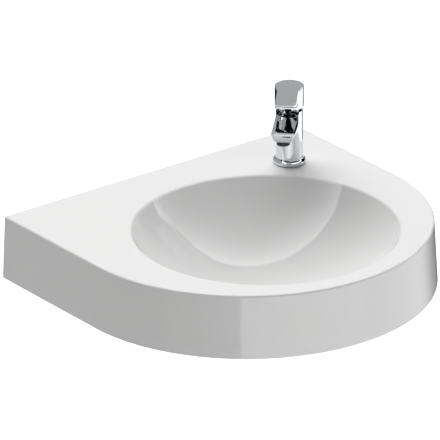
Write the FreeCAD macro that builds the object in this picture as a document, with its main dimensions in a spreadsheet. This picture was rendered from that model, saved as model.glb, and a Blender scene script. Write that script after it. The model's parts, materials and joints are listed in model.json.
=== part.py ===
"""Wall-hung D-shaped corner basin with a single-lever mixer and a push-open waste.

Millimetres, +Z up, the wall behind at y = 0 and the user in front at -Y. The origin
is the middle of the two wall-bolt holes. Every sub-part is drawn from the rim plane
(z = 0 in its own sketches) and then lifted by bolt_drop. The mixer's parts are drawn
about the mixer's own upright axis with the spout along +X, and then turned to the bowl.
"""
import FreeCAD, Part
import math
import os
import re

import Sketcher
from FreeCAD import Vector

SIZES = {
    # Glazed basin
    "basin_width": 575.0,
    "basin_depth": 520.0,
    "skirt_height": 100.0,
    "skirt_draft": 5.8,
    "skirt_wall": 15.0,
    "back_wall": 20.0,
    "deck_wall": 18.0,
    "rim_round": 3.0,
    "foot_round": 2.0,
    "front_rim": 38.0,
    "back_deck": 76.4,
    "bowl_depth": 118.0,
    "bowl_wall": 13.0,
    "bowl_edge_round": 6.0,
    "bolt_drop": 55.0,
    "bolt_spacing": 280.0,
    "bolt_hole": 9.0,
    # Drain in the bowl
    "drain_gap": 1.545,
    "seat_sink": 1.5,
    "drain_land": 22.5,
    "drain_boss": 39.0,
    # Mixer on the deck
    "tap_inset": 103.3,
    "tap_back": 100.4,
    "tap_hole": 17.5,
    "tap_pad": 34.0,
    "tap_pad_drop": 4.0,
    "locating_gap": 1.0,
    "locating_drop": 4.0,
    "tap_body": 20.75,
    "tap_height": 88.0,
    "tap_foot": 10.2,
    "foot_step": 1.75,
    "flange_radius": 25.0,
    "flange_edge": 6.2,
    "flange_lip": 0.45,
    "flange_gap": 0.2,
    "seal_height": 1.0,
    "seal_inset": 0.8,
    # Spout
    "spout_reach": 82.0,
    "spout_half": 17.2,
    "spout_fall": 8.5,
    "spout_floor": 11.5,
    "spout_tip_deep": 22.0,
    "spout_root_deep": 48.0,
    "spout_flank": 12.0,
    "nose_lean": 5.0,
    "nose_round": 5.5,
    "outlet_inset": 15.5,
    "outlet_deep": 30.5,
    "outlet_face_deep": 24.5,
    "outlet_bore": 9.1,
    "outlet_bore_deep": 16.0,
    "aerator_radius": 10.3,
    "aerator_wall": 1.4,
    "aerator_gap": 0.3,
    "washer_wide": 1.5,
    "channel_width": 7.0,
    "channel_height": 5.0,
    "channel_deep": 42.0,
    # Cartridge
    "chamber_deep": 32.0,
    "cartridge_radius": 14.0,
    "cartridge_wall": 1.6,
    "cartridge_gap": 0.1,
    "seal_disc": 1.5,
    "housing_floor": 2.0,
    "disc_height": 3.0,
    "fixed_disc": 11.8,
    "moving_disc": 10.2,
    "driver_height": 4.0,
    "driver_pocket": 3.0,
    "slide_gap": 0.3,
    "bearing_gap": 0.05,
    "rotor_height": 10.2,
    "rotor_neck": 10.5,
    "rotor_neck_deep": 2.0,
    "housing_lip": 1.3,
    "nut_radius": 15.4,
    "pivot_deep": 11.0,
    "ball_drop": 8.0,
    "ball_radius": 2.2,
    "port_radius": 2.2,
    "port_reach": 6.0,
    "inlet_spread": 6.5,
    "inlet_setback": 5.0,
    "inlet_thread": 4.5,
    "inlet_depth": 15.0,
    "pin_radius": 1.5,
    "rod_radius": 3.2,
    "rod_rise": 25.0,
    "rod_slot_back": 8.2,
    "rod_slot_front": 6.5,
    # Neck cover between body and handle
    "collar_radius": 16.0,
    "collar_height": 2.0,
    "neck_radius": 14.5,
    "neck_bore": 12.2,
    "neck_rise": 7.0,
    # Lever handle
    "cap_radius": 22.3,
    "cap_low_rise": 5.7,
    "cap_rise": 39.3,
    "cap_wall": 3.0,
    "cap_hollow_rise": 28.0,
    "cap_round": 1.2,
    "socket_radius": 7.0,
    "socket_rise": 16.0,
    "lever_half": 17.2,
    "lever_reach": 42.5,
    "lever_break": 6.0,
    "lever_lip_rise": 20.8,
    "lever_lip": 3.4,
    "lever_root_rise": 18.0,
    "lever_corner": 3.0,
    "screw_rise": 21.0,
    "screw_radius": 2.5,
    "screw_length": 4.6,
    "plug_radius": 3.5,
    # Fixing under the deck
    "stud_offset": 9.0,
    "stud_radius": 4.0,
    "stud_entry": 12.0,
    "stud_below": 26.0,
    "horseshoe_radius": 24.0,
    "horseshoe_slot": 12.8,
    "horseshoe_front": 1.0,
    "rubber_height": 3.0,
    "plate_height": 2.5,
    "stud_nut_height": 8.0,
    "stud_nut_radius": 7.5,
    # Waste
    "waste_radius": 20.955,
    "waste_bore": 18.0,
    "waste_length": 72.0,
    "waste_flange": 32.0,
    "waste_flange_height": 2.0,
    "waste_seal_height": 1.5,
    "seat_gap": 1.5,
    "tail_length": 28.0,
    "relief_height": 2.0,
    "relief_depth": 1.0,
    "cone_height": 5.0,
    "cone_radius": 31.0,
    "back_nut_height": 11.0,
    "back_nut_radius": 30.0,
    "spider_drop": 24.0,
    "spider_height": 8.0,
    "spider_rib": 3.0,
    "spider_hub": 8.0,
    "latch_radius": 5.0,
    "latch_collar": 6.5,
    "latch_rise": 10.0,
    "latch_below": 20.0,
    "latch_bore_depth": 24.0,
    "stem_radius": 3.2,
    "stem_length": 30.0,
    "plug_disc": 31.0,
    "plug_edge": 2.0,
    "plug_dome": 3.5,
    "plug_hub": 5.5,
    "plug_hub_length": 8.0,
    "plug_seal": 27.0,
    "plug_seal_width": 4.0,
    "plug_seal_height": 2.5,
    "plug_lift_gap": 0.3,
}

# Places that follow from the sizes above. They have cells of their own in the sheet,
# so the mixer's insides and handle go with its top, the bowl and mixer with the rim, the
# drain with the waste and the outlet with the spout.
FOLLOWS = {
    "bowl_radius": "(basin_depth - front_rim - back_deck) / 2",
    "bowl_back": "back_deck + bowl_radius",
    "drain_hole": "waste_radius + drain_gap",
    "tap_side": "basin_width / 2 - tap_inset",
    "locating_ring": "tap_hole - locating_gap",
    "foot_spigot": "tap_body - foot_step",
    "outlet_reach": "spout_reach - outlet_inset",
    "spout_tip_floor": "tap_height - spout_tip_deep",
    "spout_root_floor": "tap_height - spout_root_deep",
    "outlet_low": "tap_height - outlet_deep",
    "outlet_face": "tap_height - outlet_face_deep",
    "outlet_bore_top": "tap_height - outlet_bore_deep",
    "channel_base": "tap_height - channel_deep",
    "chamber_floor": "tap_height - chamber_deep",
    "rotor_neck_top": "tap_height - rotor_neck_deep",
    "pivot_height": "tap_height - pivot_deep",
    "rod_top": "tap_height + rod_rise",
    "neck_top": "tap_height + neck_rise",
    "cap_low": "tap_height + cap_low_rise",
    "cap_top": "tap_height + cap_rise",
    "cap_hollow_top": "tap_height + cap_hollow_rise",
    "socket_low": "tap_height + socket_rise",
    "lever_lip_top": "tap_height + lever_lip_rise",
    "lever_root": "tap_height + lever_root_rise",
    "screw_height": "tap_height + screw_rise",
}
CELLS = {**SIZES, **FOLLOWS}

# Formulas that several sub-parts share, written in the names above.
SPHERE = "((bowl_radius^2 + bowl_depth^2) / (2 * bowl_depth))"
SPHERE_MID = f"({SPHERE} - bowl_depth)"
SEAT = "(waste_flange + seat_gap)"
SEAT_Z = "(0 - bowl_depth - seat_sink)"
BOSS_Z = f"({SEAT_Z} - drain_land)"
FLANGE_Z = f"({SEAT_Z} + waste_seal_height + waste_flange_height)"
TAIL_Z = f"({FLANGE_Z} - waste_flange_height - waste_length)"
PLUG_Z = f"({FLANGE_Z} + plug_lift_gap + plug_seal_height)"
SPIDER_Z = f"({FLANGE_Z} - spider_drop)"
UNDER_DECK = "(deck_wall + tap_pad_drop)"
SEAL_TOP = "(chamber_floor + seal_disc)"
HOUSING_IN = "(cartridge_radius - cartridge_wall)"
DISC_Z = f"({SEAL_TOP} + housing_floor)"
SLIDE_Z = f"({DISC_Z} + disc_height)"
DRIVER_Z = f"({SLIDE_Z} + disc_height)"
ROTOR_Z = f"({DRIVER_Z} + driver_height + slide_gap)"
ROTOR_TOP = f"({ROTOR_Z} + rotor_height)"
HOUSING_TOP = f"({ROTOR_TOP} + slide_gap + housing_lip)"
SPOUT_TIP = "(tap_height - spout_fall)"
LEVER_TRAVEL_DEG = 22.0
DISC_LEAD = f"(ball_drop * {math.radians(LEVER_TRAVEL_DEG) / 2:.4f})"
SPOUT_TURN = "(180 deg + atan((bowl_back - tap_back) / tap_side))"

# How close a point must lie to a place to count as on it.
NEAR = 0.01

document = FreeCAD.newDocument("CornerBasin")
sheet = document.addObject("Spreadsheet::Sheet", "Sizes")
parts = []


def fill_sheet():
    """Put every driving dimension, then what follows from them, in a named cell."""
    for row, (name, content) in enumerate(CELLS.items(), 1):
        sheet.set(f"A{row}", name)
        sheet.set(f"B{row}", f"={content}")
        sheet.setAlias(f"B{row}", name)
    document.recompute()


def linked(text):
    """Turn 'deck_wall / 2' into an expression on the sheet's cells."""
    return re.sub(r"[a-z][a-z_]+", lambda m: f"Sizes.{m[0]}" if m[0] in CELLS else m[0], str(text))


def size(text):
    """Give the number that a formula in the sheet's names comes to."""
    return float(sheet.evalExpression(linked(text)))


def bind(thing, prop, text):
    """Drive one property by a formula in the sheet's names."""
    thing.setExpression(prop, linked(text))


# ---------------------------------------------------------------- sketches


class Circle:
    """A full circle in a sketch: its centre and radius as formulas."""

    def __init__(self, x, y, radius):
        self.x, self.y, self.radius = x, y, radius

    def draw(self, sketch):
        centre = Vector(size(self.x), size(self.y), 0)
        index = sketch.addGeometry(Part.Circle(centre, Vector(0, 0, 1), size(self.radius)))
        pin_point(sketch, index, 3, self.x, self.y)
        pin_radius(sketch, index, self.radius)


class Loop:
    """A closed outline of corners. Each corner is (x, y) for a straight side that
    arrives there, or (x, y, radius, turn) for an arc that arrives there and bends
    to the "left" or "right" of its way."""

    def __init__(self, *corners):
        self.corners = corners

    def draw(self, sketch):
        first = None
        before = self.corners[-1]
        for corner in self.corners:
            start, end = at(before), at(corner)
            if len(corner) == 2:
                index = sketch.addGeometry(Part.LineSegment(start, end))
                head, tail = 1, 2
            else:
                radius, turn = size(corner[2]), corner[3]
                index = sketch.addGeometry(bent(start, end, radius, turn))
                head, tail = (1, 2) if turn == "left" else (2, 1)
                pin_radius(sketch, index, corner[2])
            pin_point(sketch, index, tail, corner[0], corner[1])
            if first is None:
                first = (index, head)
            else:
                sketch.addConstraint(Sketcher.Constraint("Coincident", *last, index, head))
            last = (index, tail)
            before = corner
        sketch.addConstraint(Sketcher.Constraint("Coincident", *last, *first))


def at(corner):
    """The place of a corner as a vector in the sketch's plane."""
    return Vector(size(corner[0]), size(corner[1]), 0)


def bent(start, end, radius, turn):
    """The short arc of a radius from start to end, bending left or right."""
    chord = end - start
    rise = math.sqrt(max(radius**2 - (chord.Length / 2) ** 2, 0.0))
    across = Vector(-chord.y, chord.x, 0).normalize()
    side = 1 if turn == "left" else -1
    centre = (start + end) * 0.5 + across * (rise * side)
    middle = centre - across * (radius * side)
    first, last = (start, end) if turn == "left" else (end, start)
    return Part.Arc(first, middle, last)


def pin_point(sketch, index, point, x, y):
    """Hold a point of the sketch at two formulas."""
    for kind, text in (("DistanceX", x), ("DistanceY", y)):
        rule = Sketcher.Constraint(kind, -1, 1, index, point, size(text))
        number = sketch.addConstraint(rule)
        bind(sketch, f"Constraints[{number}]", text)


def pin_radius(sketch, index, text):
    """Hold the radius of a circle or arc at a formula."""
    number = sketch.addConstraint(Sketcher.Constraint("Radius", index, size(text)))
    bind(sketch, f"Constraints[{number}]", text)


def sketch_on(body, name, plane, loops, offset="0"):
    """Draw loops on one of the body's own planes, moved along its normal by offset."""
    sketch = body.newObject("Sketcher::SketchObject", f"{body.Name}_{name}")
    plane = [f for f in body.Origin.OriginFeatures if f.Role == plane][0]
    sketch.AttachmentSupport = [(plane, "")]
    sketch.MapMode = "FlatFace"
    bind(sketch, "AttachmentOffset.Base.z", offset)
    for loop in loops:
        loop.draw(sketch)
    return sketch


# ---------------------------------------------------------------- features


def new_body(name):
    """Start a sub-part that rests on the rim plane."""
    body = document.addObject("PartDesign::Body", name)
    body.Label = name
    bind(body, "Placement.Base.z", "bolt_drop")
    parts.append(body)
    return body


def on_tap(body):
    """Stand a sub-part on the mixer's axis with its +X along the spout."""
    bind(body, "Placement.Base.x", "tap_side")
    bind(body, "Placement.Base.y", "0 - tap_back")
    bind(body, "Placement.Rotation.Angle", SPOUT_TURN)
    return body


def on_drain(body):
    """Stand a sub-part on the bowl's axis."""
    bind(body, "Placement.Base.y", "0 - bowl_back")
    return body


def pad(body, name, loops, base, height, plane="XY_Plane", both=False):
    """Add a straight-walled boss that starts at base and runs height along the normal."""
    feature = body.newObject("PartDesign::Pad", f"{body.Name}_{name}_pad")
    feature.Profile = sketch_on(body, name, plane, loops, base)
    feature.SideType = "Symmetric" if both else "One side"
    bind(feature, "Length", height)
    return settle(body, feature, grows=True)


def pocket(body, name, loops, base, depth, plane="XY_Plane", both=False, forward=False):
    """Cut straight-walled holes from base against the plane's normal, or along it."""
    feature = body.newObject("PartDesign::Pocket", f"{body.Name}_{name}_cut")
    feature.Profile = sketch_on(body, name, plane, loops, base)
    feature.SideType = "Symmetric" if both else "One side"
    feature.Reversed = forward
    bind(feature, "Length", depth)
    return settle(body, feature, grows=False)


def spin(body, name, kind, loops, offset="0", grows=True):
    """Turn a profile of (radius, height) about the upright axis, to add or to cut."""
    feature = body.newObject(f"PartDesign::{kind}", f"{body.Name}_{name}_turn")
    sketch = sketch_on(body, name, "XZ_Plane", loops, offset)
    feature.Profile = sketch
    feature.ReferenceAxis = (sketch, ["V_Axis"])
    feature.Angle = 360
    return settle(body, feature, grows)


def loft(body, name, kind, lower, upper, plane, low_at, high_at):
    """Join two outlines with straight walls, to add or to cut."""
    first = sketch_on(body, f"{name}_low", plane, [lower], low_at)
    second = sketch_on(body, f"{name}_high", plane, [upper], high_at)
    feature = body.newObject(f"PartDesign::{kind}", f"{body.Name}_{name}_loft")
    feature.Profile = first
    feature.Sections = [second]
    feature.Ruled = True
    return settle(body, feature, grows=kind.startswith("Additive"))


def fillet(body, name, radius, wanted):
    """Round the edges whose middle point passes the test."""
    document.recompute()
    tip = body.Tip
    names = [f"Edge{i}" for i, e in enumerate(tip.Shape.Edges, 1) if wanted(e, middle(e))]
    if not names:
        raise RuntimeError(f"{body.Name}: no edge for {name}")
    feature = body.newObject("PartDesign::Fillet", f"{body.Name}_{name}_round")
    feature.Base = (tip, names)
    bind(feature, "Radius", radius)
    document.recompute()
    if not feature.Shape.isValid() or "Invalid" in feature.State:
        raise RuntimeError(f"{feature.Name} failed on {len(names)} edges")
    return feature


def middle(edge):
    """The middle point of an edge, in the body's own frame."""
    return edge.valueAt((edge.FirstParameter + edge.LastParameter) / 2)


def settle(body, feature, grows):
    """Recompute and see that a feature added or removed material as it should."""
    base = feature.BaseFeature
    before = base.Shape.Volume if base else 0.0
    document.recompute()
    change = feature.Shape.Volume - before
    if "Invalid" in feature.State or (change <= 0) == grows:
        raise RuntimeError(f"{feature.Name} changed the volume by {change:.3f}")
    body.Tip = feature
    return feature


def turned(name, *loops):
    """A sub-part turned on a lathe from one or more profiles of (radius, height)."""
    body = new_body(name)
    spin(body, "profile", "Revolution", loops)
    return body


def plate(name, loops, base, height):
    """A flat sub-part cut from sheet or moulded: an outline with its holes."""
    body = new_body(name)
    pad(body, "outline", loops, base, height)
    return body


def ring(inner, outer, low, high):
    """The profile of a plain ring."""
    return Loop((inner, low), (outer, low), (outer, high), (inner, high))


def hexagon(corner_radius):
    """Six corners on a circle, as formulas."""
    turns = range(0, 360, 60)
    return Loop(*[(f"{corner_radius} * cos({t} deg)", f"{corner_radius} * sin({t} deg)") for t in turns])


# ---------------------------------------------------------------- basin


def d_outline(half, arc_mid, back):
    """A flat back, two straight sides and a half-round front of two quarter arcs."""
    return Loop(
        (half, back),
        (f"0 - {half}", back),
        (f"0 - {half}", arc_mid),
        ("0", f"{arc_mid} - {half}", half, "left"),
        (half, arc_mid, half, "left"),
    )


def make_basin():
    """The glazed casting: skirt and deck, the bowl's shell below, bowl, drain and holes."""
    body = new_body("basin")
    half = "(basin_width / 2)"
    rim_half = "(basin_width / 2 - skirt_draft)"
    arc_mid = "(basin_width / 2 - basin_depth)"
    foot = "0 - skirt_height"
    spare = "1"
    loft(body, "skirt", "AdditiveLoft", d_outline(half, arc_mid, spare),
         d_outline(rim_half, arc_mid, spare), "XY_Plane", foot, "0")
    pocket(body, "wall_face", [Loop((f"{half} + 1", f"{foot} - 1"), (f"{half} + 1", "1"),
                                    (f"0 - {half} - 1", "1"), (f"0 - {half} - 1", f"{foot} - 1"))],
           "0", f"{spare} + 1", "XZ_Plane")
    inner, inner_rim = f"({half} - skirt_wall)", f"({rim_half} - skirt_wall)"
    loft(body, "hollow", "SubtractiveLoft", d_outline(inner, arc_mid, "0 - back_wall"),
         d_outline(inner_rim, arc_mid, "0 - back_wall"), "XY_Plane", foot, "0 - deck_wall")
    shell = f"({SPHERE} + bowl_wall)"
    join = "(0 - deck_wall / 2)"
    spin(body, "belly", "Revolution", [Loop(
        ("0", join),
        ("0", BOSS_Z),
        ("drain_boss", BOSS_Z),
        ("drain_boss", f"{SPHERE_MID} - sqrt({shell}^2 - drain_boss^2)"),
        (f"sqrt({shell}^2 - ({SPHERE_MID} - {join})^2)", join, shell, "left"),
    )], "bowl_back")
    spin(body, "bowl", "Groove", [Loop(
        ("0", "rim_round"),
        ("0", BOSS_Z + " - 1"),
        ("drain_hole", BOSS_Z + " - 1"),
        ("drain_hole", SEAT_Z),
        (SEAT, SEAT_Z),
        (SEAT, f"{SPHERE_MID} - sqrt({SPHERE}^2 - {SEAT}^2)"),
        ("bowl_radius", "0", SPHERE, "left"),
        ("bowl_radius", "rim_round"),
    )], "bowl_back", grows=False)
    tap_at = ("tap_side", "0 - tap_back")
    pad(body, "tap_seat", [Circle(*tap_at, "tap_pad")], f"0 - {UNDER_DECK}",
        f"{UNDER_DECK} - deck_wall / 2")
    pocket(body, "tap_hole", [Circle(*tap_at, "tap_hole")], "0", f"{UNDER_DECK} + 1")
    pocket(body, "bolt_holes", [Circle(f"{s} * bolt_spacing / 2", "0 - bolt_drop", "bolt_hole")
                                for s in (1, -1)], "0", "back_wall + 10", "XZ_Plane", forward=True)
    round_basin(body)
    return body


def round_basin(body):
    """Soften the bowl's edge, the rim and the foot, as the glaze does."""
    bowl_back, bowl_radius = size("bowl_back"), size("bowl_radius")
    tap = Vector(size("tap_side"), -size("tap_back"), 0)
    arc_mid, inner_half = size("basin_width / 2 - basin_depth"), size("basin_width / 2 - skirt_wall")

    def level(edge, height):
        box = edge.BoundBox
        return abs(box.ZMax - height) < NEAR and abs(box.ZMin - height) < NEAR

    def on_bowl(edge, point):
        reach = math.hypot(point.x, point.y + bowl_back)
        return level(edge, 0) and abs(reach - bowl_radius) < NEAR

    def on_rim(edge, point):
        beside_tap = (point - tap).Length < size("tap_pad")
        behind = edge.BoundBox.YMin > -NEAR
        reach = math.hypot(point.x, point.y + bowl_back)
        return level(edge, 0) and reach > bowl_radius + NEAR and not beside_tap and not behind

    def on_foot(edge, point):
        behind = edge.BoundBox.YMin > -NEAR
        reach = abs(point.x) if point.y > arc_mid else math.hypot(point.x, point.y - arc_mid)
        return level(edge, -size("skirt_height")) and reach > inner_half + NEAR and not behind

    fillet(body, "rim", "rim_round", on_rim)
    fillet(body, "bowl_edge", "bowl_edge_round", on_bowl)
    fillet(body, "foot", "foot_round", on_foot)


# ---------------------------------------------------------------- mixer


def ports():
    """The cold, hot and mixed ways through the cartridge's floor and discs."""
    return [
        Circle("0 - inlet_setback", "inlet_spread", "port_radius"),
        Circle("0 - inlet_setback", "0 - inlet_spread", "port_radius"),
        Circle("port_reach", "0", "port_radius"),
    ]


def spout_section(floor):
    """A flat-topped U: upright sides that curve in to a narrower floor."""
    drop = f"(tap_height - spout_flank - {floor})"
    inset = "(spout_half - spout_floor)"
    bend = f"(({inset}^2 + {drop}^2) / (2 * {inset}))"
    shoulder = "(tap_height - spout_flank)"
    return Loop(
        ("spout_half", "tap_height"),
        ("0 - spout_half", "tap_height"),
        ("0 - spout_half", shoulder),
        ("0 - spout_floor", floor, bend, "left"),
        ("spout_floor", floor),
        ("spout_half", shoulder, bend, "left"),
    )


def make_mixer_body():
    """The chromed brass casting: column, spout, cartridge chamber and waterways."""
    body = on_tap(new_body("mixer_body"))
    spin(body, "column", "Revolution", [Loop(
        ("0", "0 - locating_drop"),
        ("locating_ring", "0 - locating_drop"),
        ("locating_ring", "seal_height"),
        ("foot_spigot", "seal_height"),
        ("foot_spigot", "tap_foot"),
        ("tap_body", "tap_foot"),
        ("tap_body", "tap_height"),
        ("0", "tap_height"),
    )])
    loft(body, "spout", "AdditiveLoft", spout_section("spout_root_floor"),
         spout_section("spout_tip_floor"), "YZ_Plane", "0", "spout_reach")
    over = "(tap_height + 1)"
    past = "(spout_reach + 1)"
    nose_foot = "(spout_tip_floor - 2)"
    pocket(body, "spout_top", [Loop(
        ("collar_radius", "tap_height"),
        ("spout_reach", SPOUT_TIP),
        ("spout_reach - nose_lean", nose_foot, "spout_reach / 2", "right"),
        ("spout_reach - nose_lean", "spout_root_floor"),
        (past, "spout_root_floor"),
        (past, over),
        ("collar_radius", over),
    )], "0", "spout_half * 2 + 2", "XZ_Plane", both=True)
    round_nose(body)
    pocket(body, "outlet_face", [Circle("outlet_reach", "0", "aerator_radius + aerator_gap")],
           "outlet_face", "outlet_face - spout_root_floor")
    pocket(body, "outlet_bore", [Circle("outlet_reach", "0", "outlet_bore")],
           "outlet_bore_top", "outlet_bore_top - spout_root_floor")
    spin(body, "chamber", "Groove", [Loop(
        ("0", "chamber_floor"),
        ("cartridge_radius + cartridge_gap", "chamber_floor"),
        ("cartridge_radius + cartridge_gap", HOUSING_TOP),
        ("nut_radius + cartridge_gap", HOUSING_TOP),
        ("nut_radius + cartridge_gap", over),
        ("0", over),
    )], grows=False)
    rise = "((spout_tip_floor - spout_root_floor) / spout_reach)"
    near = "(port_reach - channel_width / 2)"
    far = f"(channel_base + {rise} * (outlet_reach - {near}))"
    pocket(body, "waterway", [Loop(
        (near, "channel_base"),
        ("outlet_reach", far),
        ("outlet_reach", f"{far} + channel_height"),
        (near, "channel_base + channel_height"),
    )], "0", "channel_width", "XZ_Plane", both=True)
    pocket(body, "mixed_way", [ports()[2]], "chamber_floor + 1",
           "chamber_floor + 1 - channel_base - channel_height / 2")
    pocket(body, "supply_ways", ports()[:2], "chamber_floor + 1",
           "chamber_floor + 1 + locating_drop")
    inlets = [Circle("0 - inlet_setback", f"{s} * inlet_spread", "inlet_thread") for s in (1, -1)]
    pocket(body, "inlets", inlets, "inlet_depth - locating_drop", "inlet_depth + 1")
    pocket(body, "stud_hole", [Circle("stud_offset", "0", "stud_radius")], "stud_entry",
           "stud_entry + locating_drop + 1")
    return body


def round_nose(body):
    """Round the two upright corners at the spout's end."""
    lean, half = size("spout_reach - nose_lean - 1"), size("spout_floor - 1")

    def nose_corner(edge, point):
        tall = edge.BoundBox.ZLength > size("spout_flank") / 4
        return tall and edge.BoundBox.XMin > lean and abs(point.y) > half

    fillet(body, "nose", "nose_round", nose_corner)


def make_mixer_foot():
    """The flange round the foot of the column and the seal under it."""
    bore = "(foot_spigot + flange_gap)"
    top = "(tap_body + flange_lip)"
    cove = "(flange_radius - tap_body - flange_lip)"
    on_tap(turned("base_flange", Loop(
        (bore, "seal_height"),
        ("flange_radius", "seal_height"),
        ("flange_radius", "flange_edge"),
        (top, "tap_foot", f"{cove} * 1.3", "right"),
        (bore, "tap_foot"),
    )))
    on_tap(turned("base_seal", ring("locating_ring + flange_gap", "flange_radius - seal_inset",
                                    "0", "seal_height")))


def make_aerator():
    """The threaded sleeve, the plastic jet former and the sealing washer at the outlet."""
    moved = []
    skin = "(outlet_bore - aerator_gap / 3)"
    inside = f"({skin} - aerator_wall)"
    washer_z = "(outlet_bore_top - washer_wide)"
    moved.append(turned("aerator_sleeve", Loop(
        (inside, "outlet_low"),
        ("aerator_radius", "outlet_low"),
        ("aerator_radius", "outlet_face"),
        (skin, "outlet_face"),
        (skin, washer_z),
        (inside, washer_z),
    )))
    grid = [Circle("0", "0", f"{inside} - aerator_gap / 3")]
    for circle, count in ((0.34, 5), (0.72, 10)):
        for step in range(count):
            turn = 360 * step / count
            grid.append(Circle(f"{inside} * {circle} * cos({turn} deg)",
                               f"{inside} * {circle} * sin({turn} deg)", "aerator_wall * 0.7"))
    moved.append(plate("aerator_insert", grid, "outlet_low + 1", f"{washer_z} - outlet_low - 1"))
    moved.append(turned("aerator_washer", ring(f"{inside} - washer_wide", skin, washer_z,
                                               "outlet_bore_top")))
    for body in moved:
        on_tap(body)
        bind(body, "Placement.Base.x", f"tap_side + outlet_reach * cos({SPOUT_TURN})")
        bind(body, "Placement.Base.y", f"0 - tap_back + outlet_reach * sin({SPOUT_TURN})")


def make_cartridge():
    """The parts that meter the water, from the seal at the bottom to the nut on top."""
    seat = [Circle("0", "0", "cartridge_radius")] + ports()
    on_tap(plate("cartridge_seal", seat, "chamber_floor", "seal_disc"))
    housing = on_tap(turned("cartridge_housing", Loop(
        ("0", SEAL_TOP),
        ("cartridge_radius", SEAL_TOP),
        ("cartridge_radius", HOUSING_TOP),
        ("rotor_neck + slide_gap", HOUSING_TOP),
        ("rotor_neck + slide_gap", f"{HOUSING_TOP} - housing_lip"),
        (HOUSING_IN, f"{HOUSING_TOP} - housing_lip"),
        (HOUSING_IN, DISC_Z),
        ("0", DISC_Z),
    )))
    pocket(housing, "ports", ports(), DISC_Z, "housing_floor + 1")
    on_tap(plate("fixed_disc", [Circle("0", "0", "fixed_disc")] + ports(), DISC_Z, "disc_height"))
    disc = on_tap(plate("moving_disc", [Circle(f"0 - {DISC_LEAD}", "0", "moving_disc")],
                        SLIDE_Z, "disc_height"))
    pocket(disc, "mixing_recess", [Circle(f"0 - {DISC_LEAD} + 1", "0", "moving_disc * 0.55")],
           f"{SLIDE_Z} + disc_height / 2", "disc_height")
    driver = on_tap(plate("disc_driver", [Circle(f"0 - {DISC_LEAD}", "0", "moving_disc")],
                          DRIVER_Z, "driver_height"))
    pocket(driver, "ball_pocket", [Circle("0", "0", "ball_radius + slide_gap")],
           f"{DRIVER_Z} + driver_height", "driver_pocket")
    make_rotor()
    make_lever_stem()
    on_tap(turned("cartridge_nut", Loop(
        ("rotor_neck + slide_gap", HOUSING_TOP),
        ("nut_radius", HOUSING_TOP),
        ("nut_radius", "tap_height"),
        ("rotor_neck + slide_gap", "tap_height"),
    )))
    on_tap(turned("neck_cover", Loop(
        ("neck_bore", "tap_height"),
        ("collar_radius", "tap_height"),
        ("collar_radius", "tap_height + collar_height * 0.6"),
        ("collar_radius - collar_height * 0.4", "tap_height + collar_height",
         "collar_height * 0.4", "left"),
        ("neck_radius", "tap_height + collar_height"),
        ("neck_radius", "neck_top"),
        ("neck_bore", "neck_top"),
    )))


def make_rotor():
    """The carrier that turns in the housing, slotted for the stem and bored for its pin."""
    rotor = on_tap(turned("cartridge_rotor", Loop(
        ("0", ROTOR_Z),
        (f"{HOUSING_IN} - bearing_gap", ROTOR_Z),
        (f"{HOUSING_IN} - bearing_gap", ROTOR_TOP),
        ("rotor_neck", ROTOR_TOP),
        ("rotor_neck", "rotor_neck_top"),
        ("0", "rotor_neck_top"),
    )))
    half = "(rod_radius + slide_gap)"
    slot = Loop(("0 - rod_slot_back", f"0 - {half}"), ("rod_slot_front", f"0 - {half}"),
                ("rod_slot_front", half), ("0 - rod_slot_back", half))
    pocket(rotor, "slot", [slot], "rotor_neck_top", f"rotor_neck_top - {ROTOR_Z} + 1")
    pocket(rotor, "pin_hole", [Circle("0", "pivot_height", "pin_radius")], "0",
           "cartridge_radius * 2", "XZ_Plane", both=True)
    pin = on_tap(new_body("lever_pin"))
    pad(pin, "shaft", [Circle("0", "pivot_height", "pin_radius")], "0",
        f"{HOUSING_IN} * 2 - slide_gap * 10", "XZ_Plane", both=True)


def make_lever_stem():
    """The rod from the ball in the driver, through the pin, up into the handle."""
    ball_z = "(pivot_height - ball_drop)"
    waist = "(ball_radius * 0.7)"
    neck_z = f"({ball_z} + sqrt(ball_radius^2 - {waist}^2))"
    stem = on_tap(turned("lever_stem", Loop(
        ("0", f"{ball_z} - ball_radius"),
        ("ball_radius", ball_z, "ball_radius", "left"),
        (waist, neck_z, "ball_radius", "left"),
        (waist, f"{neck_z} + 1"),
        ("rod_radius", "pivot_height - pin_radius * 2"),
        ("rod_radius", "rod_top"),
        ("0", "rod_top"),
    )))
    pocket(stem, "pin_hole", [Circle("0", "pivot_height", "pin_radius + bearing_gap")], "0",
           "rod_radius * 4", "XZ_Plane", both=True)


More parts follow.
